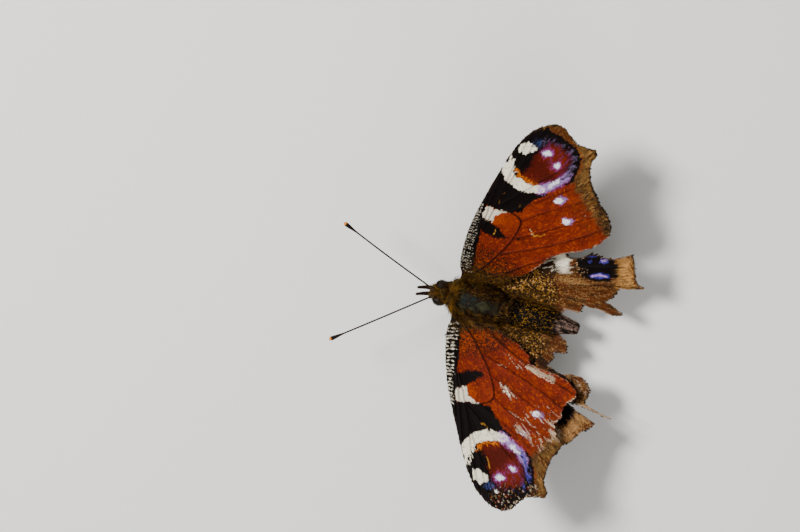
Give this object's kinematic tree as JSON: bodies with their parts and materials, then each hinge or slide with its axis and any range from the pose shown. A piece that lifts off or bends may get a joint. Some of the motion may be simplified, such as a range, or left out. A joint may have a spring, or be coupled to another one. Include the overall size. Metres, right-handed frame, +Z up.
{
  "type": "peacock butterfly",
  "caption": "Life-size still model of a peacock butterfly resting on its legs, worn wings half raised, antennae spread forward.",
  "frame": {"origin": "centre of the bounding box, on the floor that the feet stand on", "axes": "+Z up, -Y towards the head, +X towards the butterfly's left"},
  "size_m": [0.0554, 0.0437, 0.0137],
  "materials": {
    "brown_fur": "soft brown hair",
    "dark_cuticle": "dull dark cuticle",
    "compound_eye": "glossy faceted dome",
    "antenna_cuticle": "smooth dark cuticle",
    "wing_scales": "matt overlapping scales",
    "leg_cuticle": "fine-haired brown cuticle"
  },
  "bodies": {
    "root": {"head": "brown_fur", "thorax": "brown_fur", "abdomen": "dark_cuticle", "eye_left": "compound_eye", "eye_right": "compound_eye", "palp_left": "brown_fur", "palp_right": "brown_fur", "proboscis": "dark_cuticle", "antenna_left": "antenna_cuticle", "antenna_right": "antenna_cuticle", "forewing_left": "wing_scales", "forewing_right": "wing_scales", "hindwing_left": "wing_scales", "hindwing_right": "wing_scales", "foreleg_left": "brown_fur", "foreleg_right": "brown_fur", "midleg_femur_left": "leg_cuticle", "midleg_femur_right": "leg_cuticle", "midleg_tibia_left": "leg_cuticle", "midleg_tibia_right": "leg_cuticle", "midleg_tarsus_left": "leg_cuticle", "midleg_tarsus_right": "leg_cuticle", "hindleg_femur_left": "leg_cuticle", "hindleg_femur_right": "leg_cuticle", "hindleg_tibia_left": "leg_cuticle", "hindleg_tibia_right": "leg_cuticle", "hindleg_tarsus_left": "leg_cuticle", "hindleg_tarsus_right": "leg_cuticle"}
  },
  "joints": []
}
